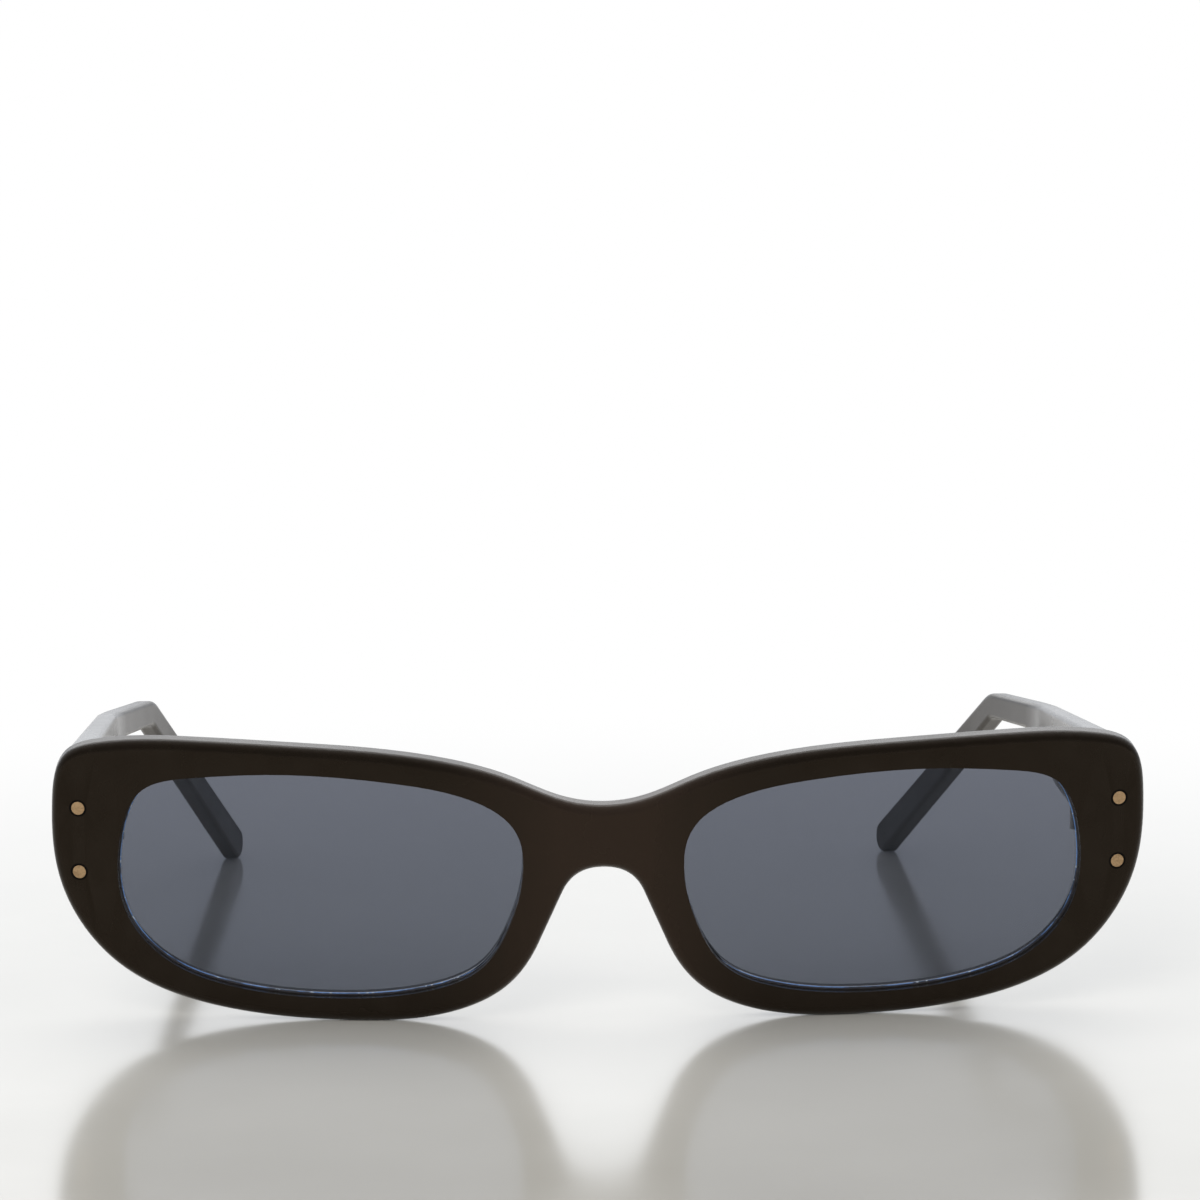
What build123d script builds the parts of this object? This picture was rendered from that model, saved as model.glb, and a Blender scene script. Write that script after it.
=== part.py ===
"""Narrow rectangle sunglasses: an acetate front with two lenses, and two folding temples.

Millimetres.  +X runs along the front, +Y back along the temples, +Z up.  The origin is on
the surface the glasses stand on, below the middle of their outer box.  They stand as
unfolded glasses do, on the bottoms of both rims and on both temple tips.
"""
from build123d import *
from math import asin, atan2, cos, degrees, radians, sin, sqrt, tan
import os

os.makedirs("parts", exist_ok=True)

# Front: one plate, bent round the face and leaning forward at the top
front_width = 139.5
front_height = 36.5
front_thickness = 4.0
front_lean = 8.0
wrap_radius = 340.0
outer_edge_radius = 1.2

# Front outline, measured up the plate from the bottom of the rims
bridge_top = 28.65
bridge_underside = 20.55
crest_x = 52.0
widest_height = 27.7
rim_bottom_x = 32.0
nose_foot_x = 8.2
nose_foot_height = 10.4
nose_top_x = 5.2
nose_top_height = 17.2

# Lens openings and lenses
opening_inner_x = 10.2
opening_outer_x = 61.2
opening_top = 32.6
opening_bottom = 3.2
opening_top_x = 41.0
opening_bottom_x = 33.0
opening_inner_height = 22.0
opening_outer_height = 23.0
lens_thickness = 1.8
lens_inset = 1.2
lens_clearance = 0.02
tongue_thickness = 0.8
tongue_depth = 0.5

# Nose pads, bonded to the back of the front beside the nose
pad_length = 12.6
pad_width = 3.0
pad_depth = 4.2
pad_seat = 0.4
pad_x = 10.3
pad_height = 12.6
pad_taper = 10.0
pad_edge_radius = 0.6

# Hinge: one vertical pin line behind each end of the front
hinge_x = 62.2
hinge_standoff = 2.5
barrel_bottom = 22.9
knuckle_radius = 1.45
knuckle_height = 1.06
knuckle_gap = 0.06
knuckle_count = 5
screw_radius = 0.6
screw_head_radius = 1.0
screw_head_height = 0.5
screw_slot_width = 0.28
screw_slot_depth = 0.25
bore_clearance = 0.04
leaf_thickness = 1.1
leaf_corner_radius = 1.0
foot_width = 1.2
foot_depth = 0.4
front_foot_x = 63.6
front_leaf_width = 5.2
front_leaf_height = 12.4
front_leaf_outer = 2.0
temple_leaf_length = 15.0
temple_leaf_height = 5.6
temple_leaf_lead = 0.8

# Rivets: a flush head on the outside, a shank into the hinge leaf
rivet_head_radius = 0.95
rivet_head_depth = 0.7
rivet_shank_radius = 0.65
front_rivet_x = 65.6
front_rivet_height = 23.1
front_rivet_pitch = 8.4
temple_rivet_lead = 5.6
temple_rivet_pitch = 5.6

# Temples: heights are above the floor, reaches are behind the middle of the front
temple_outer_x = 67.9
temple_thickness = 3.4
bow_thickness = 2.9
tip_thickness = 2.5
temple_joint_gap = 0.1
temple_start = 4.0
temple_top = 35.0
temple_bottom = 20.2
temple_edge_radius = 0.7
bow_reach = 66.5
bow_top = 31.4
bow_angle = 13.0
bow_radius = 36.0
waist_reach = 51.0
waist_bottom = 22.5
neck_reach = 70.0
neck_bottom = 27.4
waist_radius = 40.0
neck_radius = 18.0
bend_reach = 86.0
bend_top = 30.7
bend_radius = 4.0
arm_height = 3.6
tip_height = 4.8
tip_drop = 29.8

# Core wire in each temple
wire_radius = 0.6
wire_start = 26.0
wire_end_margin = 4.0

# One overrun serves every cut that must run clear of its piece
overrun = 10.0

half_width = front_width / 2
back_radius = wrap_radius - front_thickness
lean = radians(front_lean)
drop = radians(tip_drop)
tip_radius = tip_height / 2
bend_middle = bend_top - arm_height / 2
tip_length = (bend_middle - tip_radius) / sin(drop)
temple_reach = bend_reach + tip_length * cos(drop) + tip_radius


def wrap_sag(x, radius=wrap_radius):
    """How far the bent surface lies behind the middle of the plate's front, at x."""
    return wrap_radius - sqrt(radius**2 - x**2)


# The rims' lowest points are on the rounded lower front edge, and they touch z = 0
edge_behind = wrap_sag(rim_bottom_x) + outer_edge_radius
front_lift = outer_edge_radius * (1 - cos(lean)) - edge_behind * sin(lean)
forward_reach = bridge_top * sin(lean)
front_y = (forward_reach - temple_reach) / 2
through_depth = wrap_sag(half_width) + front_thickness + overrun


def front_point(x, height, depth):
    """A point of space from a place on the plate: across, up the plate and into it."""
    return Vector(
        x,
        front_y + depth * cos(lean) - height * sin(lean),
        front_lift + depth * sin(lean) + height * cos(lean),
    )


front_plane = Plane(front_point(0, 0, 0), x_dir=(1, 0, 0), z_dir=(0, -cos(lean), -sin(lean)))
plan_plane = Plane(front_point(0, 0, 0), x_dir=(1, 0, 0), z_dir=(0, -sin(lean), cos(lean)))


def bent_plate(near, far, low, high):
    """The part of the bent plate between two depths and two heights, as a solid."""
    with BuildPart(mode=Mode.PRIVATE) as plate:
        with BuildSketch(plan_plane.offset(low)):
            with Locations((0, wrap_radius)):
                Circle(wrap_radius - near)
                Circle(wrap_radius - far, mode=Mode.SUBTRACT)
            Rectangle(
                2 * (half_width + overrun),
                2 * wrap_sag(half_width + overrun, wrap_radius - far) + overrun,
                mode=Mode.INTERSECT,
            )
        extrude(amount=high - low)
    return plate.part


def share_points(shares, width, height):
    """Outline points from shares of a width and a height."""
    return [(width * across, height * up) for across, up in shares]


# Shares of the half width and of the front's height, between the named points
crown_shares = [(0.164, 0.875), (0.371, 0.965), (0.56, 0.989)]
corner_shares = [(0.907, 0.984), (0.973, 0.937)]
cheek_shares = [(0.982, 0.444), (0.893, 0.197), (0.681, 0.032)]
nostril_shares = [(0.275, 0.035), (0.185, 0.115)]


def front_outline():
    """Half of the front's outline from the top of the bridge round to its underside."""
    nose_slope = (nose_top_x - nose_foot_x, nose_top_height - nose_foot_height)
    bridge_peak = (0, bridge_top)
    crest = (crest_x, front_height)
    widest = (half_width, widest_height)
    rim_foot = (rim_bottom_x, 0)
    nose_foot = (nose_foot_x, nose_foot_height)
    nose_top = (nose_top_x, nose_top_height)
    crown = share_points(crown_shares, half_width, front_height)
    corner = share_points(corner_shares, half_width, front_height)
    cheek = share_points(cheek_shares, half_width, front_height)
    nostril = share_points(nostril_shares, half_width, front_height)
    with BuildLine() as half:
        Spline(
            bridge_peak, *crown, crest, *corner, widest, *cheek, rim_foot, *nostril, nose_foot,
            tangents=[(1, 0), nose_slope],
        )
        Line(nose_foot, nose_top)
        Spline(nose_top, (0, bridge_underside), tangents=[nose_slope, (-1, 0)])
        mirror(about=Plane.YZ)
    return half.line


# Shares of the opening's width from its inner side and of its height from its bottom
opening_rise_shares = [(0.04, 0.806), (0.136, 0.903), (0.31, 0.968)]
opening_shoulder_shares = [(0.816, 0.975), (0.94, 0.913)]
opening_fall_shares = [(0.978, 0.33), (0.88, 0.145), (0.726, 0.043)]
opening_return_shares = [(0.229, 0.042), (0.1, 0.147), (0.03, 0.35)]


def opening_outline(growth=0):
    """The right lens opening, grown alike on its four sides, as a closed curve."""
    left = opening_inner_x - growth
    right = opening_outer_x + growth
    low = opening_bottom - growth
    high = opening_top + growth

    def placed(shares):
        return [(left + x, low + y) for x, y in share_points(shares, right - left, high - low)]

    inner = (left, opening_inner_height)
    outer = (right, opening_outer_height)
    top = (opening_top_x, high)
    bottom = (opening_bottom_x, low)
    rise = placed(opening_rise_shares)
    shoulder = placed(opening_shoulder_shares)
    fall = placed(opening_fall_shares)
    back = placed(opening_return_shares)
    with BuildLine() as loop:
        Spline(inner, *rise, top, *shoulder, outer, *fall, bottom, *back, periodic=True)
    return loop.line


def opening_prism(growth, near, far):
    """The right lens opening's outline, grown, filled between two depths of the plate."""
    with BuildPart(mode=Mode.PRIVATE) as prism:
        with BuildSketch(front_plane):
            with BuildLine():
                add(opening_outline(growth))
            make_face()
        extrude(amount=-through_depth)
        add(bent_plate(near, far, -overrun, front_height + overrun), mode=Mode.INTERSECT)
    return prism.part


def lens_tongue(clearance):
    """The thin rim of the right lens that sits in the groove, grown by a clearance."""
    near = lens_inset + (lens_thickness - tongue_thickness) / 2 - clearance
    far = near + tongue_thickness + 2 * clearance
    return opening_prism(tongue_depth + clearance, near, far)


def back_y(x, z):
    """Where the back of the front lies at a place across and a height above the floor."""
    depth = wrap_sag(x, back_radius)
    height = (z - front_lift - depth * sin(lean)) / cos(lean)
    return front_point(x, height, depth).Y


def write(piece, name):
    """Labels a finished piece and writes it to its own file."""
    piece.label = name
    export_step(piece, f"parts/{name}.step")


def write_pair(piece, name):
    """Writes a right-hand piece and its mirror image for the left."""
    write(piece, f"{name}_right")
    write(mirror(piece, about=Plane.YZ, mode=Mode.PRIVATE), f"{name}_left")


# The pin line stands behind the end of the front, midway up the barrel
knuckle_pitch = knuckle_height + knuckle_gap
barrel_top = barrel_bottom + (knuckle_count - 1) * knuckle_pitch + knuckle_height
barrel_middle = (barrel_bottom + barrel_top) / 2
hinge_y = back_y(hinge_x, barrel_middle) + hinge_standoff

# The plane of the front's back where the rivets pass, with x inward and y up the plate
end_angle = asin(front_rivet_x / back_radius)
end_plane = Plane(
    front_point(front_rivet_x, front_rivet_height, wrap_sag(front_rivet_x, back_radius)),
    x_dir=(-cos(end_angle), -sin(end_angle) * cos(lean), -sin(end_angle) * sin(lean)),
    z_dir=(-sin(end_angle), cos(end_angle) * cos(lean), cos(end_angle) * sin(lean)),
)
front_rivet_spots = [(0, front_rivet_pitch / 2), (0, -front_rivet_pitch / 2)]

# The plane of the temple's inner face, with x forward and y up
temple_inner_x = temple_outer_x - temple_thickness
inner_plane = Plane((temple_inner_x, hinge_y, barrel_middle), x_dir=(0, -1, 0), z_dir=(-1, 0, 0))
temple_rivet_spots = [(-temple_rivet_lead, 0), (-temple_rivet_lead - temple_rivet_pitch, 0)]


def front_leaf_plate(rise):
    """The flat of the front hinge leaf, sunk in the front and risen out of its back."""
    with BuildPart(mode=Mode.PRIVATE) as plate:
        with BuildSketch(end_plane.offset(-leaf_thickness)):
            with Locations((front_leaf_width / 2 - front_leaf_outer, 0)):
                RectangleRounded(front_leaf_width, front_leaf_height, leaf_corner_radius)
        extrude(amount=leaf_thickness + rise)
    return plate.part


def temple_leaf_plate(rise):
    """The flat of the temple hinge leaf, sunk in the temple's inner face."""
    with BuildPart(mode=Mode.PRIVATE) as plate:
        with BuildSketch(inner_plane.offset(-leaf_thickness)):
            with Locations((temple_leaf_lead - temple_leaf_length / 2, 0)):
                RectangleRounded(temple_leaf_length, temple_leaf_height, leaf_corner_radius)
        extrude(amount=leaf_thickness + rise)
    return plate.part


def rivet(plane, spot, depth, rise=0):
    """A rivet in a wall of the given depth: its head is on the far side of the plane."""
    with BuildPart(mode=Mode.PRIVATE) as pin:
        with BuildSketch(plane.offset(-depth - rise)):
            with Locations(spot):
                Circle(rivet_head_radius)
        extrude(amount=rivet_head_depth + rise)
        with BuildSketch(plane.offset(rivet_head_depth - depth)):
            with Locations(spot):
                Circle(rivet_shank_radius)
        extrude(amount=depth - rivet_head_depth + rise)
    return pin.part


def knuckle(level, foot_x, foot_y, foot_across, foot_along):
    """One knuckle of the barrel, drawn out to its foot in the hinge leaf."""
    with BuildPart(mode=Mode.PRIVATE) as link:
        with BuildSketch(Plane.XY.offset(barrel_bottom + level * knuckle_pitch)):
            with Locations((hinge_x, hinge_y)):
                Circle(knuckle_radius)
            with Locations((foot_x, foot_y)):
                Rectangle(foot_across, foot_along)
            make_hull()
        extrude(amount=knuckle_height)
    return link.part


def pin_hole(radius, low, high):
    """The space along the pin line between two heights."""
    with BuildPart(mode=Mode.PRIVATE) as hole:
        with BuildSketch(Plane.XY.offset(low)):
            with Locations((hinge_x, hinge_y)):
                Circle(radius)
        extrude(amount=high - low)
    return hole.part


with BuildPart() as front_frame:
    add(bent_plate(0, front_thickness, -overrun, front_height + overrun))
    with BuildSketch(front_plane):
        with BuildLine():
            add(front_outline())
        make_face()
    extrude(amount=-through_depth, mode=Mode.INTERSECT)
    fillet(front_frame.faces().filter_by(GeomType.CYLINDER).edges(), outer_edge_radius)
    with BuildSketch(front_plane):
        with BuildLine():
            add(opening_outline())
        make_face()
        mirror(about=Plane.YZ)
    extrude(amount=-through_depth, mode=Mode.SUBTRACT)
    cuts = [lens_tongue(lens_clearance), front_leaf_plate(overrun)]
    cuts += [rivet(end_plane, spot, front_thickness, overrun) for spot in front_rivet_spots]
    for cut in cuts:
        add(cut, mode=Mode.SUBTRACT)
        add(mirror(cut, about=Plane.YZ, mode=Mode.PRIVATE), mode=Mode.SUBTRACT)
write(front_frame.part, "front_frame")

with BuildPart() as lens:
    add(opening_prism(-lens_clearance, lens_inset, lens_inset + lens_thickness))
    add(lens_tongue(0))
write_pair(lens.part, "lens")

# The pad leans with the side of the nose
pad_plane = Plane(
    front_point(pad_x, pad_height, wrap_sag(pad_x, back_radius) - pad_seat),
    x_dir=(-1, 0, 0),
    z_dir=(0, cos(lean), sin(lean)),
)
nose_angle = degrees(atan2(nose_top_height - nose_foot_height, nose_foot_x - nose_top_x))
with BuildPart() as nose_pad:
    with BuildSketch(pad_plane):
        SlotOverall(pad_length, pad_width, rotation=nose_angle)
    extrude(amount=pad_seat + pad_depth, taper=pad_taper)
    pad_crest = nose_pad.faces().sort_by(Axis(pad_plane.origin, pad_plane.z_dir))[-1]
    fillet(pad_crest.edges(), pad_edge_radius)
    add(bent_plate(0, front_thickness, -overrun, front_height + overrun), mode=Mode.SUBTRACT)
write_pair(nose_pad.part, "nose_pad")

with BuildPart() as front_hinge_leaf:
    add(front_leaf_plate(0))
    for level in range(0, knuckle_count, 2):
        height = barrel_bottom + level * knuckle_pitch + knuckle_height / 2
        foot_y = back_y(front_foot_x, height) - leaf_thickness / 2
        add(knuckle(level, front_foot_x, foot_y, foot_width, foot_depth))
    add(pin_hole(screw_radius, barrel_bottom, barrel_top), mode=Mode.SUBTRACT)
    add(
        pin_hole(screw_radius + bore_clearance, barrel_bottom + knuckle_height, barrel_top),
        mode=Mode.SUBTRACT,
    )
    add(
        pin_hole(screw_head_radius + bore_clearance, barrel_top - screw_head_height, barrel_top),
        mode=Mode.SUBTRACT,
    )
    for spot in front_rivet_spots:
        add(rivet(end_plane, spot, front_thickness, overrun), mode=Mode.SUBTRACT)
write_pair(front_hinge_leaf.part, "front_hinge_leaf")

with BuildPart() as hinge_screw:
    add(pin_hole(screw_radius, barrel_bottom, barrel_top))
    add(pin_hole(screw_head_radius, barrel_top - screw_head_height, barrel_top))
    with BuildSketch(Plane.XY.offset(barrel_top)):
        with Locations((hinge_x, hinge_y)):
            Rectangle(2 * screw_head_radius, screw_slot_width)
    extrude(amount=-screw_slot_depth, mode=Mode.SUBTRACT)
write_pair(hinge_screw.part, "hinge_screw")

for word, spot in zip(("upper", "lower"), front_rivet_spots):
    write_pair(rivet(end_plane, spot, front_thickness), f"front_rivet_{word}")

with BuildPart() as temple_hinge_leaf:
    add(temple_leaf_plate(0))
    for level in range(1, knuckle_count, 2):
        foot_x = temple_inner_x + leaf_thickness / 2
        add(knuckle(level, foot_x, hinge_y, foot_depth, foot_width))
    add(
        pin_hole(screw_radius + bore_clearance, barrel_bottom, barrel_top),
        mode=Mode.SUBTRACT,
    )
    for spot in temple_rivet_spots:
        add(rivet(inner_plane, spot, temple_thickness, overrun), mode=Mode.SUBTRACT)
write_pair(temple_hinge_leaf.part, "temple_hinge_leaf")

for word, spot in zip(("front", "rear"), temple_rivet_spots):
    write_pair(rivet(inner_plane, spot, temple_thickness), f"temple_rivet_{word}")

# The temple's tip runs down from the bend to a round end that touches the floor
tip_down = Vector(cos(drop), -sin(drop))
tip_up = Vector(sin(drop), cos(drop))
bend_corner = Vector(bend_reach, bend_top)
inner_corner = bend_corner - Vector(sin(drop / 2), cos(drop / 2)) * (arm_height / cos(drop / 2))
tip_centre = Vector(bend_reach, bend_middle) + tip_down * tip_length
tip_upper = tip_centre + tip_up * tip_radius
tip_lower = tip_centre - tip_up * tip_radius
tip_nose = tip_centre + tip_down * tip_radius


def temple_side():
    """The temple's outline from the side, as a closed curve."""
    with BuildLine() as side:
        upper = FilletPolyline(
            (temple_start, temple_top),
            (bow_reach, bow_top),
            bend_corner,
            tip_upper,
            radius=(bow_radius, bend_radius + arm_height),
        )
        ThreePointArc(tip_upper, tip_nose, tip_lower)
        lower = FilletPolyline(
            tip_lower,
            inner_corner,
            (neck_reach, neck_bottom),
            (waist_reach, waist_bottom),
            (temple_start, temple_bottom),
            radius=(bend_radius, neck_radius, waist_radius),
        )
        Line(lower @ 1, upper @ 0)
    return side.line


def temple_plan():
    """The temple's outline from above: straight, then bowed inward."""
    bow_run = temple_reach + overrun - bow_reach
    outer_end = (temple_outer_x - bow_run * tan(radians(bow_angle)), temple_reach + overrun)
    inner_end = (outer_end[0] - tip_thickness / cos(radians(bow_angle)), outer_end[1])
    with BuildLine() as plan:
        outer = FilletPolyline(
            (temple_outer_x, temple_start),
            (temple_outer_x, bow_reach),
            outer_end,
            radius=bow_radius,
        )
        inner = FilletPolyline(
            (temple_inner_x, temple_start),
            (temple_outer_x - bow_thickness, bow_reach),
            inner_end,
            radius=bow_radius - bow_thickness,
        )
        Line(outer @ 0, inner @ 0)
        Line(outer @ 1, inner @ 1)
    return plan.line


def core_wire_path():
    """The middle of the temple, from behind the hinge to near the end of the tip."""
    slope = tan(radians(bow_angle))
    bow_x = temple_outer_x - bow_thickness / 2
    bow_z = (bow_top + neck_bottom) / 2

    def rear_point(place):
        across = bow_x - (place.X - bow_reach) * slope
        return (across, front_y + place.X, place.Y)

    start = (bow_x, front_y + wire_start, bow_z)
    bow = (bow_x, front_y + bow_reach, bow_z)
    bend = rear_point((bend_corner + inner_corner) / 2)
    tip = rear_point(tip_centre - tip_down * wire_end_margin)
    return FilletPolyline(start, bow, bend, tip, radius=(bow_radius, bend_radius), mode=Mode.PRIVATE)


with BuildPart() as core_wire:
    with BuildLine() as wire_path:
        add(core_wire_path())
    with BuildSketch(Plane(wire_path.line @ 0, z_dir=wire_path.line % 0)):
        Circle(wire_radius)
    sweep()
write_pair(core_wire.part, "core_wire")

side_plane = Plane((0, front_y, 0), x_dir=(0, 1, 0), z_dir=(1, 0, 0))
floor_plane = Plane((0, front_y, 0))

with BuildPart() as temple:
    with BuildSketch(side_plane):
        with BuildLine():
            add(temple_side())
        make_face()
    extrude(amount=half_width)
    with BuildSketch(floor_plane):
        with BuildLine():
            add(temple_plan())
        make_face()
    extrude(amount=temple_top, mode=Mode.INTERSECT)
    butt = temple.faces().sort_by(Axis.Y)[0]
    fillet(temple.edges() - butt.edges(), temple_edge_radius)
    joint_depth = front_thickness + temple_joint_gap
    add(bent_plate(-overrun, joint_depth, -overrun, front_height + overrun), mode=Mode.SUBTRACT)
    add(temple_leaf_plate(overrun), mode=Mode.SUBTRACT)
    for spot in temple_rivet_spots:
        add(rivet(inner_plane, spot, temple_thickness, overrun), mode=Mode.SUBTRACT)
    add(core_wire.part, mode=Mode.SUBTRACT)
write_pair(temple.part, "temple")
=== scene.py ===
"""Narrow rectangle sunglasses in soft matte black acetate, standing open on a pale glossy table.

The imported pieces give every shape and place.  This file adds their finishes, the fine parts
that only show close up, the table, the surroundings, the lamps and the camera.  Lengths are in
metres.
"""
from math import asin, cos, radians, sin

import bpy
import numpy as np
from mathutils import Matrix, Vector


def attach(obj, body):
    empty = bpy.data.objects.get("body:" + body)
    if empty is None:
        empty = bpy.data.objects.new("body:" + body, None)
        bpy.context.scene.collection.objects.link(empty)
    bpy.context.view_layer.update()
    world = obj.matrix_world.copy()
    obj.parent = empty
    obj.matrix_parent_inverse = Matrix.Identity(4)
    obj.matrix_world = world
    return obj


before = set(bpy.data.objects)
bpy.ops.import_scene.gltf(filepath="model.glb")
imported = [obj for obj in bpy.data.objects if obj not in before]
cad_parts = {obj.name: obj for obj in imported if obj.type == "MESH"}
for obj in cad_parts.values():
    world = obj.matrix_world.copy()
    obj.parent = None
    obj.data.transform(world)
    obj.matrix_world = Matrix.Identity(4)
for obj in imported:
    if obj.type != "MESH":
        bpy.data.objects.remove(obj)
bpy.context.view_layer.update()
scene = bpy.context.scene
scene.view_settings.view_transform = "Standard"


# Colours, each as linear red, green and blue with a full alpha

FRONT_BLACK = (0.0052, 0.0035, 0.0022, 1.0)
FRONT_RUBBED = (0.0115, 0.009, 0.007, 1.0)
FRONT_BRIDGE_PALE = (0.0215, 0.014, 0.0105, 1.0)
TEMPLE_BLACK = (0.0066, 0.005, 0.0042, 1.0)
TEMPLE_RUBBED = (0.0115, 0.009, 0.0075, 1.0)
ACETATE_GLOSS = (0.44, 0.34, 0.25, 1.0)
DUST = (0.3, 0.29, 0.27, 1.0)
# painted shade: the lens's tint at its foot, darker than at its top
LENS_TINT_PAINTED_SHADE = (0.112, 0.122, 0.147, 1.0)
LENS_TINT_HIGH = (0.138, 0.149, 0.181, 1.0)
LENS_GLOSS = (0.4, 0.45, 0.55, 1.0)
NICKEL = (0.62, 0.6, 0.56, 1.0)
NICKEL_DARK = (0.4, 0.38, 0.35, 1.0)
STEEL = (0.58, 0.57, 0.56, 1.0)
STEEL_DARK = (0.42, 0.41, 0.4, 1.0)
BRASS = (0.48, 0.325, 0.185, 1.0)
BRASS_DARK = (0.37, 0.245, 0.13, 1.0)
WIRE = (0.6, 0.6, 0.58, 1.0)
WIRE_DARK = (0.42, 0.42, 0.41, 1.0)
# painted shade: the near-black ring standing for the shadow in the gap round a rivet head
GAP_SHADE_BLACK = (0.0008, 0.0006, 0.0006, 1.0)
GAP_SHADE_BROWN = (0.004, 0.003, 0.0025, 1.0)
# painted glint along each lens's edge: a blue line with light specks
GLINT_NAVY = (0.035, 0.06, 0.11, 1.0)
GLINT_BLUE = (0.12, 0.26, 0.58, 1.0)
GLINT_SPECK = (0.5, 0.6, 0.72, 1.0)
BEVEL_DARK = (0.034, 0.032, 0.036, 1.0)
BEVEL_PALE = (0.075, 0.07, 0.075, 1.0)
# painted shade: the table's colour nearest the viewer, greyer than at the rear
TABLE_NEAR_PAINTED_SHADE = (0.6, 0.57, 0.505, 1.0)
TABLE_REAR = (0.89, 0.855, 0.775, 1.0)
STUDIO_TINT = (0.935, 0.96, 1.0, 1.0)
WHITE = (1.0, 1.0, 1.0, 1.0)


# Where a finish changes, in metres

BRIDGE_PALE_FROM = 0.004    # distance from the middle of the bridge at which the paler colour begins to fade
BRIDGE_PALE_TO = 0.024
POLISH_FROM = -0.005    # Y at which the arms' polish begins to fade, ahead of the bend
POLISH_TO = 0.045
LENS_FOOT = 0.003       # Z below which the painted shade on the lens is fullest; it is gone at LENS_TOP
LENS_TOP = 0.033
TABLE_GREY_TO = -0.19   # Y up to which the painted shade on the table is full; it is gone at TABLE_PALE_FROM
TABLE_PALE_FROM = -0.06
TABLE_MIDDLE = (0.0, -0.06, 0.0)
TABLE_FADE_FROM = 0.1   # distance from the table's middle at which it begins to fade to white
TABLE_FADE_TO = 0.3
GRAIN_DEPTH = 0.000012
HAIRLINE_DEPTH = 0.000006


# How strong an effect is

GRAIN_SHADE = 0.82      # how bright the dullest acetate is, against the rest
DUST_SHARE = 0.25
RUB_GAIN = 0.06         # how much less rough a rubbed edge is
POLISH_GAIN = 0.06      # how much less rough a polished arm is
MARK_LOSS = 0.12        # how much rougher a mark in metal is
PIT_SHADE = 0.6
RUBBED_METAL = 1.15
LENS_CLOUDS = 0.1
TABLE_CLOUDS = 0.15
STUDIO_DIM = 0.38       # strength ahead of the glasses, where 1 is white
STUDIO_LIGHT = 0.4      # share of the studio that lights the pieces
STUDIO_FILL = 0.26      # even light added to it


# Meshes

def grid_mesh(name, points, closed=False):
    """A surface through a grid of points, rows x columns x 3, with one quad in each cell.

    Cell (i, j) joins points (i, j), (i, j+1), (i+1, j+1) and (i+1, j).  In a closed surface
    the last row is joined to the first.
    """
    rows, columns = points.shape[:2]
    index = np.arange(rows * columns).reshape(rows, columns)
    if closed:
        index = np.vstack([index, index[:1]])
    quads = np.stack([index[:-1, :-1], index[:-1, 1:], index[1:, 1:], index[1:, :-1]], axis=-1)
    quads = quads.reshape(-1, 4)
    mesh = bpy.data.meshes.new(name)
    mesh.vertices.add(rows * columns)
    mesh.vertices.foreach_set("co", points.reshape(-1).astype(np.float32))
    mesh.loops.add(quads.size)
    mesh.loops.foreach_set("vertex_index", quads.reshape(-1).astype(np.int32))
    mesh.polygons.add(len(quads))
    mesh.polygons.foreach_set("loop_start", np.arange(0, quads.size, 4, dtype=np.int32))
    mesh.polygons.foreach_set("use_smooth", np.ones(len(quads), dtype=bool))
    mesh.update(calc_edges=True)
    mesh.validate()
    piece = bpy.data.objects.new(name, mesh)
    scene.collection.objects.link(piece)
    return piece


def mesh_points(node):
    """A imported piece's points, one row of x, y and z each."""
    points = np.empty(3 * len(node.data.vertices), dtype=np.float32)
    node.data.vertices.foreach_get("co", points)
    return points.reshape(-1, 3).astype(float)


# Shader nodes

def new_finish(name, **values):
    """A material with one Principled shader, whose constant values are set on its sockets."""
    material = bpy.data.materials.new(name)
    material.use_nodes = True
    shader = material.node_tree.nodes["Principled BSDF"]
    for socket, value in values.items():
        shader.inputs[socket.replace("_", " ")].default_value = value
    return material, material.node_tree, shader


def add_node(tree, kind, **settings):
    """A node of the given kind, with its settings."""
    node = tree.nodes.new(kind)
    for name, value in settings.items():
        setattr(node, name, value)
    return node


def object_place(tree):
    """The Object coordinates, in which one unit is a metre."""
    return add_node(tree, "ShaderNodeTexCoord").outputs["Object"]


def axes_of(tree, place):
    """The X, Y and Z of a place or direction."""
    node = add_node(tree, "ShaderNodeSeparateXYZ")
    tree.links.new(place, node.inputs[0])
    return node.outputs


def noise(tree, place, scale, detail=2.0, roughness=0.5):
    """A cloudy value of about 0.5 whose lumps are about 1 / scale across."""
    node = add_node(tree, "ShaderNodeTexNoise")
    tree.links.new(place, node.inputs["Vector"])
    node.inputs["Scale"].default_value = scale
    node.inputs["Detail"].default_value = detail
    node.inputs["Roughness"].default_value = roughness
    return node.outputs["Fac"]


def feed(tree, socket, value):
    """Sets a socket to a constant, or links another node's output to it."""
    if isinstance(value, (int, float, tuple)):
        socket.default_value = value
    else:
        tree.links.new(value, socket)


def worked(tree, operation, first, second=0.0, clamp=False):
    """What an arithmetic operation makes of one or two values."""
    node = add_node(tree, "ShaderNodeMath", operation=operation, use_clamp=clamp)
    feed(tree, node.inputs[0], first)
    feed(tree, node.inputs[1], second)
    return node.outputs[0]


def plus(tree, first, second, clamp=False):
    """One value plus another, held between 0 and 1 if clamped."""
    return worked(tree, "ADD", first, second, clamp)


def minus(tree, first, second):
    """One value less another."""
    return worked(tree, "SUBTRACT", first, second)


def times(tree, first, second):
    """One value times another."""
    return worked(tree, "MULTIPLY", first, second)


def ranged(tree, value, low, high, to_low=0.0, to_high=1.0, smooth=True):
    """A value carried from one range to another and held inside it."""
    node = add_node(tree, "ShaderNodeMapRange")
    node.interpolation_type = "SMOOTHSTEP" if smooth else "LINEAR"
    sockets = ("Value", "From Min", "From Max", "To Min", "To Max")
    for socket, given in zip(sockets, (value, low, high, to_low, to_high)):
        feed(tree, node.inputs[socket], given)
    return node.outputs["Result"]


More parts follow.
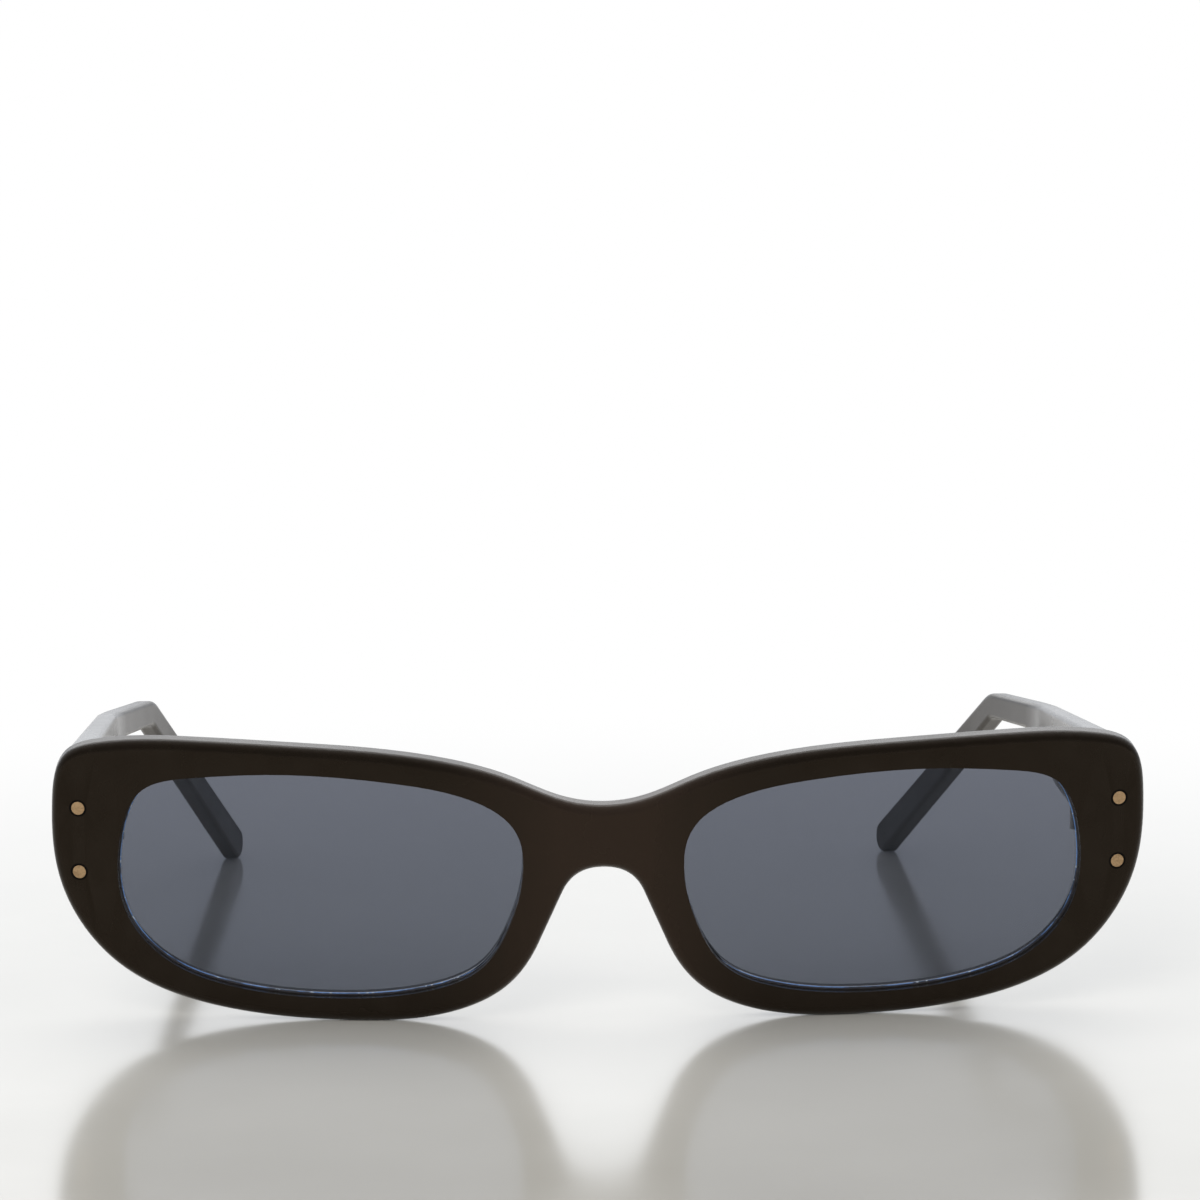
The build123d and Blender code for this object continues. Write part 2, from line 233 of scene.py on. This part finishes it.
def mixed(tree, share, first, second):
    """A colour between two colours, by a share."""
    node = add_node(tree, "ShaderNodeMix", data_type="RGBA")
    colours = [socket for socket in node.inputs if socket.type == "RGBA"]
    tree.links.new(share, node.inputs["Factor"])
    feed(tree, colours[0], first)
    feed(tree, colours[1], second)
    return next(socket for socket in node.outputs if socket.type == "RGBA")


def scaled(colour, factor):
    """A colour times a factor, with no part above 1."""
    return tuple(min(1.0, factor * part) for part in colour[:3]) + (1.0,)


def bumped(tree, shader, height, distance):
    """Bends the shader's normal by a height from 0 to about 1, times a distance in metres."""
    node = add_node(tree, "ShaderNodeBump")
    node.inputs["Distance"].default_value = distance
    tree.links.new(height, node.inputs["Height"])
    tree.links.new(node.outputs["Normal"], shader.inputs["Normal"])


# Effects that several finishes share

def effect_group(name, inputs, outputs):
    """An empty shader node group with named values going in and out."""
    group = bpy.data.node_groups.new(name, "ShaderNodeTree")
    for label, kind, value in inputs:
        socket = group.interface.new_socket(label, in_out="INPUT", socket_type=kind)
        socket.default_value = value
    for label in outputs:
        group.interface.new_socket(label, in_out="OUTPUT", socket_type="NodeSocketFloat")
    entry = group.nodes.new("NodeGroupInput")
    leave = group.nodes.new("NodeGroupOutput")
    return group, entry.outputs, leave.inputs


def place_group(tree, group, **values):
    """A group placed in a material, with its own values."""
    node = add_node(tree, "ShaderNodeGroup", node_tree=group)
    for label, value in values.items():
        node.inputs[label.replace("_", " ")].default_value = value
    return node.outputs


def make_blasted_grain():
    """The fine dull grain that a blasting drum leaves, with faint handling marks over it.

    Height is a fine noise plus 0.35 of a noise ten times coarser.  Dullness is a cloudy value
    from 0 to 1, and Dust is 1 on a few tiny specks.
    """
    group, entry, leave = effect_group(
        "blasted grain",
        [
            ("Grain per Metre", "NodeSocketFloat", 9000.0),
            ("Specks per Metre", "NodeSocketFloat", 260.0),
        ],
        ["Height", "Dullness", "Dust"],
    )
    place = object_place(group)
    fine = noise(group, place, scale=1.0, detail=3.0, roughness=0.6)
    group.links.new(entry["Grain per Metre"], fine.node.inputs["Scale"])
    coarse = noise(group, place, scale=900.0)
    group.links.new(plus(group, fine, times(group, coarse, 0.35)), leave["Height"])
    clouds = noise(group, place, scale=70.0, detail=4.0, roughness=0.6)
    group.links.new(ranged(group, clouds, 0.36, 0.66), leave["Dullness"])
    specks = add_node(group, "ShaderNodeTexVoronoi")
    group.links.new(place, specks.inputs["Vector"])
    group.links.new(entry["Specks per Metre"], specks.inputs["Scale"])
    near = ranged(group, specks.outputs["Distance"], 0.022, 0.012)
    chosen = ranged(group, noise(group, place, scale=190.0, detail=0.0), 0.6, 0.66)
    group.links.new(times(group, near, chosen), leave["Dust"])
    return group


def make_edge_rub():
    """How far an outer edge has been rubbed: 1 on a sharp edge, 0 on a flat or a hollow.

    The mesh's curvature, 0.5 on a flat, is carried from 0.51 to 0.5 plus Sharpness, and then
    broken up by a noise.
    """
    group, entry, leave = effect_group("edge rub", [("Sharpness", "NodeSocketFloat", 0.06)], ["Rub"])
    curvature = add_node(group, "ShaderNodeNewGeometry").outputs["Pointiness"]
    rub = ranged(group, curvature, 0.51, plus(group, entry["Sharpness"], 0.5))
    broken = noise(group, object_place(group), scale=260.0, detail=3.0)
    group.links.new(times(group, rub, broken), leave["Rub"])
    return group


def make_hairlines():
    """Fine scratches in one direction, as polishing or brushing leaves them.

    A noise is stretched along one axis, by reading the place with that axis scaled down.
    """
    group, entry, leave = effect_group(
        "hairlines",
        [
            ("Lines per Metre", "NodeSocketFloat", 5000.0),
            ("Direction", "NodeSocketVector", (0.04, 1.0, 1.0)),
        ],
        ["Height", "Mark"],
    )
    stretched = add_node(group, "ShaderNodeVectorMath", operation="MULTIPLY")
    group.links.new(object_place(group), stretched.inputs[0])
    group.links.new(entry["Direction"], stretched.inputs[1])
    lines = noise(group, stretched.outputs["Vector"], scale=1.0, detail=3.0, roughness=0.65)
    group.links.new(entry["Lines per Metre"], lines.node.inputs["Scale"])
    group.links.new(lines, leave["Height"])
    group.links.new(ranged(group, lines, 0.42, 0.7), leave["Mark"])
    return group


blasted_grain = make_blasted_grain()
edge_rub = make_edge_rub()
hairlines = make_hairlines()


# Finishes

def acetate_finish(name, colour, rubbed, rough, shiny, sheen, bridge_pale=None, polish=0.0):
    """Matte black acetate: blasted grain, edges rubbed a little shinier and paler, few specks.

    Its roughness lies between shiny and rough, by the grain.  Round the middle of the bridge
    a front can be made slightly paler.  The arms of the temples keep some polish, which fades
    out round the bend towards the tips.
    """
    material, tree, shader = new_finish(
        name, IOR=1.5, Specular_Tint=ACETATE_GLOSS, Sheen_Weight=sheen, Sheen_Roughness=0.25,
        Coat_Roughness=0.16,
    )
    grain = place_group(tree, blasted_grain)
    rub = place_group(tree, edge_rub)["Rub"]
    axes = axes_of(tree, object_place(tree))
    body = mixed(tree, grain["Dullness"], colour, scaled(colour, GRAIN_SHADE))
    if bridge_pale:
        from_middle = worked(tree, "ABSOLUTE", axes["X"])
        bridge_paleness = ranged(tree, from_middle, BRIDGE_PALE_FROM, BRIDGE_PALE_TO, 1.0, 0.0)
        body = mixed(tree, bridge_paleness, body, bridge_pale)
    worn = mixed(tree, rub, body, rubbed)
    dusty = mixed(tree, times(tree, grain["Dust"], DUST_SHARE), worn, DUST)
    tree.links.new(dusty, shader.inputs["Base Color"])
    roughness = ranged(tree, grain["Dullness"], 0.0, 1.0, shiny, rough, smooth=False)
    if polish:
        kept = ranged(tree, axes["Y"], POLISH_FROM, POLISH_TO, 1.0, 0.0)
        tree.links.new(times(tree, kept, polish), shader.inputs["Coat Weight"])
        roughness = minus(tree, roughness, times(tree, kept, POLISH_GAIN))
    roughness = minus(tree, roughness, times(tree, rub, RUB_GAIN))
    tree.links.new(roughness, shader.inputs["Roughness"])
    bumped(tree, shader, grain["Height"], GRAIN_DEPTH)
    return material


def lens_finish():
    """Blue-grey tinted lens, with shade painted into its tint: darker towards the bottom."""
    material, tree, shader = new_finish(
        "tinted lens", IOR=1.5, Transmission_Weight=1.0, Roughness=0.0, Specular_Tint=LENS_GLOSS
    )
    place = object_place(tree)
    clouds = times(tree, noise(tree, place, scale=40.0, detail=1.0), LENS_CLOUDS)
    # painted shade: the tint darkens towards the bottom of the lens
    lens_shade_thinning = ranged(tree, axes_of(tree, place)["Z"], LENS_FOOT, LENS_TOP, smooth=False)
    tint = mixed(tree, plus(tree, lens_shade_thinning, clouds), LENS_TINT_PAINTED_SHADE, LENS_TINT_HIGH)
    tree.links.new(tint, shader.inputs["Base Color"])
    return material


def metal_finish(name, colour, dark, roughness, lines, pits=0.0):
    """Tumbled metal: hairlines, with dark left in the low marks and in pits, and bright edges."""
    material, tree, shader = new_finish(name, Metallic=1.0)
    hair = place_group(tree, hairlines, Lines_per_Metre=lines)
    rub = place_group(tree, edge_rub)["Rub"]
    body = mixed(tree, hair["Mark"], colour, dark)
    if pits:
        holes = noise(tree, object_place(tree), scale=4200.0, detail=3.0)
        pitted = ranged(tree, holes, 0.48, 0.62, 0.0, pits)
        body = mixed(tree, pitted, body, scaled(dark, PIT_SHADE))
    bright = mixed(tree, rub, body, scaled(colour, RUBBED_METAL))
    tree.links.new(bright, shader.inputs["Base Color"])
    rough = ranged(tree, hair["Mark"], 0.0, 1.0, roughness, roughness + MARK_LOSS)
    tree.links.new(rough, shader.inputs["Roughness"])
    bumped(tree, shader, hair["Height"], HAIRLINE_DEPTH)
    return material


def gap_shade_finish():
    """Painted shade in the fine gap round a rivet head: nearly black, uneven."""
    material, tree, shader = new_finish("rivet gap", Roughness=0.8, Specular_IOR_Level=0.1)
    clouds = noise(tree, object_place(tree), scale=2500.0)
    tree.links.new(mixed(tree, clouds, GAP_SHADE_BLACK, GAP_SHADE_BROWN), shader.inputs["Base Color"])
    return material


def bevel_and_glint_finish():
    """The ground edge of a lens: a grey bevel, with a painted blue glint where it meets the face,
    broken and dotted with painted light specks.
    """
    material, tree, shader = new_finish("lens edge", Roughness=0.35)
    place = object_place(tree)
    breaks = ranged(tree, noise(tree, place, scale=420.0, detail=3.0), 0.38, 0.56)
    # painted glint: light specks and a blue line along the lens's face
    glint_specks = ranged(tree, noise(tree, place, scale=1500.0), 0.6, 0.66)
    line = mixed(tree, glint_specks, mixed(tree, breaks, GLINT_NAVY, GLINT_BLUE), GLINT_SPECK)
    bevel = mixed(tree, noise(tree, place, scale=700.0), BEVEL_DARK, BEVEL_PALE)
    inward = add_node(tree, "ShaderNodeAttribute", attribute_name="inward").outputs["Fac"]
    wander = plus(tree, inward, times(tree, noise(tree, place, scale=900.0), 0.3))
    on_glint_line = ranged(tree, wander, 0.78, 0.86)
    tree.links.new(mixed(tree, on_glint_line, bevel, line), shader.inputs["Base Color"])
    return material


front_acetate = acetate_finish(
    "front acetate", FRONT_BLACK, FRONT_RUBBED, rough=0.3, shiny=0.24, sheen=0.11,
    bridge_pale=FRONT_BRIDGE_PALE,
)
temple_acetate = acetate_finish(
    "temple acetate", TEMPLE_BLACK, TEMPLE_RUBBED, rough=0.4, shiny=0.34, sheen=0.06, polish=0.6,
)
lens_tint = lens_finish()
hinge_metal = metal_finish("hinge nickel silver", NICKEL, NICKEL_DARK, roughness=0.3, lines=4000.0)
screw_metal = metal_finish("screw steel", STEEL, STEEL_DARK, roughness=0.25, lines=6000.0)
rivet_metal = metal_finish("rivet brass", BRASS, BRASS_DARK, roughness=0.42, lines=3500.0, pits=0.85)
wire_metal = metal_finish("core wire", WIRE, WIRE_DARK, roughness=0.3, lines=5000.0)
rivet_gap_shade = gap_shade_finish()
bevel_and_glint = bevel_and_glint_finish()

FINISH_OF = {
    "front_frame": front_acetate,
    "nose_pad": front_acetate,
    "temple_rivet": rivet_metal,
    "front_rivet": rivet_metal,
    "temple_hinge_leaf": hinge_metal,
    "front_hinge_leaf": hinge_metal,
    "temple": temple_acetate,
    "lens": lens_tint,
    "hinge_screw": screw_metal,
    "core_wire": wire_metal,
}


def dress(node):
    """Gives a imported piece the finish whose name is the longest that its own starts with."""
    key = max((k for k in FINISH_OF if node.name.startswith(k)), key=len)
    node.data.materials.clear()
    node.data.materials.append(FINISH_OF[key])


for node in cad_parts.values():
    dress(node)


# Fine parts: a ring of painted shade in the gap round each rivet head, and the ground edge of each
# lens with a painted glint

FRONT_LEAN = radians(8.0)
WRAP_RADIUS = 0.340
BACK_RADIUS = 0.336
FRONT_RIVET_REACH = 0.0656    # from the middle of the front to a rivet
FRONT_RIVET_TURN = asin(FRONT_RIVET_REACH / BACK_RADIUS)
UP_THE_FRONT = np.array([0.0, -sin(FRONT_LEAN), cos(FRONT_LEAN)])
INTO_THE_FRONT = np.array([0.0, cos(FRONT_LEAN), sin(FRONT_LEAN)])
CAP_DEPTH = 0.00002     # points this close to the outermost one belong to a rivet's cap
FACE_DEPTH = 0.00004    # points this close to the nearest one belong to a lens's front face
OUTER_SHARE = 0.75      # how much the outer side of a lens's edge counts, and how much its bottom
LOW_SHARE = 0.65
WIDENS_FROM = -0.15     # the facing at which a lens's edge begins to widen, and at which it is widest
WIDEST_AT = 0.45


# painted shade: this ring, nearly black, stands for the shadow in the gap round the head
def rivet_gap(
    name, node, out, inner=0.00083, outer=0.00112, rise=0.00001, sunk=0.2, around=64, across=6
):
    """A ring on the flush head of a rivet: a shallow arch turned about the rivet's line.

    At a share t of the way from the inner to the outer radius the arch stands
    rise * (4t(1 - t) - sunk) above the head, so that its feet are below it.
    """
    points = mesh_points(node)
    reach = points @ out
    cap = points[reach > reach.max() - CAP_DEPTH]
    centre = (cap.min(axis=0) + cap.max(axis=0)) / 2
    side = np.cross(out, (0.0, 0.0, 1.0))
    side /= np.linalg.norm(side)
    up = np.cross(side, out)
    turn = np.linspace(0, 2 * np.pi, around, endpoint=False)[:, None, None]
    share = np.linspace(0, 1, across)[None, :, None]
    radius = inner + (outer - inner) * share
    height = rise * (4 * share * (1 - share) - sunk)
    ring = centre + radius * (np.cos(turn) * side + np.sin(turn) * up) + height * out
    return grid_mesh(name, ring, closed=True)


def border_of(flat, directions=1440):
    """The convex outline of flat points: the farthest point in each of many directions."""
    turn = np.linspace(0, 2 * np.pi, directions, endpoint=False)
    farthest = np.argmax(flat @ np.array([np.cos(turn), np.sin(turn)]), axis=0)
    outline = flat[farthest]
    return outline[np.any(outline != np.roll(outline, 1, axis=0), axis=1)]


def evenly(outline, count):
    """A closed outline read again at equal steps along its length."""
    closed = np.vstack([outline, outline[:1]])
    lengths = np.linalg.norm(np.diff(closed, axis=0), axis=1)
    along = np.concatenate([[0.0], np.cumsum(lengths)])
    steps = np.linspace(0, along[-1], count, endpoint=False)
    return np.stack([np.interp(steps, along, closed[:, axis]) for axis in (0, 1)], axis=1)


def smoothed(outline, reach=3):
    """A closed outline with each point moved to the mean of itself and its near neighbours."""
    steps = range(-reach, reach + 1)
    return sum(np.roll(outline, step, axis=0) for step in steps) / len(steps)


def bend_at(x):
    """How far the front has curved back at a distance x from its middle."""
    return WRAP_RADIUS - np.sqrt(WRAP_RADIUS**2 - x**2)


def lens_edge(
    name, node, side, width=0.00034, narrowest=0.04, rise=0.00002, lift=0.1, around=480, across=9
):
    """A thin arch along the border of a lens's front face, with a painted glint, wide at its outer
    side and bottom.

    The lens is laid flat: across, up the plate and into it, less the bend of the plate.  Its
    nearest points are the front face, and their convex outline is the border.  At a share t of
    the way inward the arch stands rise * (4t(1 - t) + lift) before the glass.  Its "inward"
    attribute is t, for the finish.

    Facing is the border's outward direction, times OUTER_SHARE across and LOW_SHARE down.  The
    arch's width goes from narrowest times the given width, where facing is WIDENS_FROM or
    little more, to all of it at WIDEST_AT, in a straight line.
    """
    points = mesh_points(node)
    depth = points @ INTO_THE_FRONT - bend_at(points[:, 0])
    face = points[depth < depth.min() + FACE_DEPTH]
    border = border_of(np.stack([face[:, 0], face @ UP_THE_FRONT], axis=1))
    border = smoothed(evenly(border, around))
    ahead = np.roll(border, -1, axis=0) - np.roll(border, 1, axis=0)
    outward = np.stack([ahead[:, 1], -ahead[:, 0]], axis=1)
    outward /= np.linalg.norm(ahead, axis=1)[:, None]
    facing = outward @ np.array([side * OUTER_SHARE, -LOW_SHARE])
    strength = (facing - WIDENS_FROM) / (WIDEST_AT - WIDENS_FROM)
    strength = np.clip(strength, narrowest, 1.0)[:, None, None]
    share = np.linspace(0, 1, across)[None, :, None]
    flat = border[:, None, :] - outward[:, None, :] * width * strength * share
    before = rise * (4 * share * (1 - share) + lift)
    depth_here = depth.min() + bend_at(flat[..., :1]) - before
    place = flat[..., 1:] * UP_THE_FRONT + depth_here * INTO_THE_FRONT
    place[..., 0] = flat[..., 0]
    edge = grid_mesh(name, place, closed=True)
    inward = edge.data.attributes.new("inward", "FLOAT", "POINT")
    shares = np.broadcast_to(share[..., 0], place.shape[:2])
    inward.data.foreach_set("value", shares.astype(np.float32).ravel())
    return edge


for word, side in (("left", -1.0), ("right", 1.0)):
    front_out = -cos(FRONT_RIVET_TURN) * INTO_THE_FRONT + [side * sin(FRONT_RIVET_TURN), 0.0, 0.0]
    temple_out = np.array([side, 0.0, 0.0])
    rivets = (
        ("front_rivet_upper", front_out, "front"),
        ("front_rivet_lower", front_out, "front"),
        ("temple_rivet_front", temple_out, f"{word}_temple"),
        ("temple_rivet_rear", temple_out, f"{word}_temple"),
    )
    for rivet, out, body in rivets:
        gap = rivet_gap(f"{rivet}_gap_{word}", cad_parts[f"{rivet}_{word}"], out)
        gap.data.materials.append(rivet_gap_shade)
        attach(gap, body)
    edge = lens_edge(f"lens_edge_{word}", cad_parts[f"lens_{word}"], side)
    edge.data.materials.append(bevel_and_glint)
    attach(edge, "front")


# Table, surroundings, lamps and camera

def table_finish():
    """White glossy table, shade painted greyer towards the viewer, fading to plain white all round.

    Only the camera, gloss and the lenses see it fade.
    """
    material, tree, shader = new_finish("white table", IOR=1.6, Coat_Weight=0.6, Coat_IOR=1.5)
    place = object_place(tree)
    clouds = noise(tree, place, scale=30.0, detail=3.0)
    # painted shade: the table greys towards the viewer; the clouds add a random tone
    rear = ranged(tree, axes_of(tree, place)["Y"], TABLE_GREY_TO, TABLE_PALE_FROM)
    shade_thinning_and_tone = plus(tree, rear, times(tree, clouds, TABLE_CLOUDS))
    tree.links.new(mixed(tree, shade_thinning_and_tone, TABLE_NEAR_PAINTED_SHADE, TABLE_REAR), shader.inputs["Base Color"])
    rough = ranged(tree, clouds, 0.3, 0.7, 0.12, 0.15)
    tree.links.new(rough, shader.inputs["Roughness"])
    tree.links.new(rough, shader.inputs["Coat Roughness"])
    distance = add_node(tree, "ShaderNodeVectorMath", operation="DISTANCE")
    tree.links.new(place, distance.inputs[0])
    distance.inputs[1].default_value = TABLE_MIDDLE
    fade = ranged(tree, distance.outputs["Value"], TABLE_FADE_FROM, TABLE_FADE_TO)
    paths = add_node(tree, "ShaderNodeLightPath").outputs
    seen = plus(tree, paths["Is Camera Ray"], paths["Is Glossy Ray"], clamp=True)
    seen = plus(tree, seen, paths["Is Transmission Ray"], clamp=True)
    white = add_node(tree, "ShaderNodeEmission")
    white.inputs["Color"].default_value = WHITE
    blend = add_node(tree, "ShaderNodeMixShader")
    tree.links.new(times(tree, fade, seen), blend.inputs[0])
    tree.links.new(shader.outputs[0], blend.inputs[1])
    tree.links.new(white.outputs[0], blend.inputs[2])
    tree.links.new(blend.outputs[0], tree.nodes["Material Output"].inputs["Surface"])
    return material


def make_table(half_side=1.6, cells=16):
    """A flat square grid at height 0, about the origin."""
    line = np.linspace(-half_side, half_side, cells + 1)
    across, along = np.meshgrid(line, line)
    points = np.stack([across, along, np.zeros_like(across)], axis=-1)
    table = grid_mesh("table", points)
    table.data.materials.append(table_finish())


def make_surroundings():
    """White to the camera and through the lenses; to gloss, bright behind and above, dim in front.

    To gloss, the strength in a direction goes from STUDIO_DIM to 1 as 0.75Y + 0.8Z goes from
    -0.1 to 0.8.  All other light meets STUDIO_LIGHT of that, plus STUDIO_FILL.
    """
    world = bpy.data.worlds.new("studio")
    scene.world = world
    world.use_nodes = True
    tree = world.node_tree
    tree.nodes.clear()
    axes = axes_of(tree, add_node(tree, "ShaderNodeTexCoord").outputs["Generated"])
    bright_side = plus(tree, times(tree, axes["Y"], 0.75), times(tree, axes["Z"], 0.8))
    studio = ranged(tree, bright_side, -0.1, 0.8, STUDIO_DIM, 1.0)
    rest = plus(tree, times(tree, studio, STUDIO_LIGHT), STUDIO_FILL)
    paths = add_node(tree, "ShaderNodeLightPath").outputs
    level = plus(tree, rest, times(tree, minus(tree, studio, rest), paths["Is Glossy Ray"]))
    plain = plus(tree, paths["Is Camera Ray"], paths["Is Transmission Ray"], clamp=True)
    strength = plus(tree, level, times(tree, minus(tree, 1.0, level), plain))
    background = add_node(tree, "ShaderNodeBackground")
    tree.links.new(mixed(tree, plain, STUDIO_TINT, WHITE), background.inputs["Color"])
    tree.links.new(strength, background.inputs["Strength"])
    out = add_node(tree, "ShaderNodeOutputWorld")
    tree.links.new(background.outputs[0], out.inputs["Surface"])


def add_lamp(name, place, target, side, watts, glossy=True):
    """A square soft lamp that faces its target."""
    light = bpy.data.lights.new(name, "AREA")
    light.size = side
    light.energy = watts
    lamp = bpy.data.objects.new(name, light)
    lamp.location = place
    lamp.rotation_euler = (Vector(target) - Vector(place)).to_track_quat("-Z", "Y").to_euler()
    lamp.visible_glossy = glossy
    scene.collection.objects.link(lamp)


# The camera as fitted to the photo: place, turn and lens
CAMERA_PLACE = (-0.02758, -0.62483, 0.11285)
CAMERA_TURN = radians(2.797)
CAMERA_DIP = radians(6.013)
CAMERA_ROLL = radians(-0.166)
FOCAL_SIDES = 3.7225    # focal length in picture sides
SENSOR_WIDTH = 36.0     # in millimetres, as the lens is


def make_camera():
    """Looks along the heading and the dip, rolled a little about that line."""
    ahead = Vector((
        sin(CAMERA_TURN) * cos(CAMERA_DIP), cos(CAMERA_TURN) * cos(CAMERA_DIP), -sin(CAMERA_DIP)
    ))
    level = Vector((cos(CAMERA_TURN), -sin(CAMERA_TURN), 0))
    upright = level.cross(ahead)
    right = cos(CAMERA_ROLL) * level + sin(CAMERA_ROLL) * upright
    up = cos(CAMERA_ROLL) * upright - sin(CAMERA_ROLL) * level
    data = bpy.data.cameras.new("camera")
    data.sensor_width = SENSOR_WIDTH
    data.lens = FOCAL_SIDES * SENSOR_WIDTH
    data.clip_start = 0.01
    camera = bpy.data.objects.new("camera", data)
    camera.matrix_world = Matrix((
        (right.x, up.x, -ahead.x, CAMERA_PLACE[0]),
        (right.y, up.y, -ahead.y, CAMERA_PLACE[1]),
        (right.z, up.z, -ahead.z, CAMERA_PLACE[2]),
        (0, 0, 0, 1),
    ))
    scene.collection.objects.link(camera)
    scene.camera = camera


make_table()
make_surroundings()
add_lamp("back lamp", (0.0, 0.55, 0.6), (0, -0.02, 0.02), side=0.9, watts=2.6)
add_lamp("top lamp", (0.0, -0.05, 0.7), (0, -0.02, 0.02), side=0.5, watts=0.3, glossy=False)
add_lamp("front lamp", (-0.25, -0.75, 0.45), (0, -0.05, 0.02), side=0.5, watts=3.4, glossy=False)
make_camera()
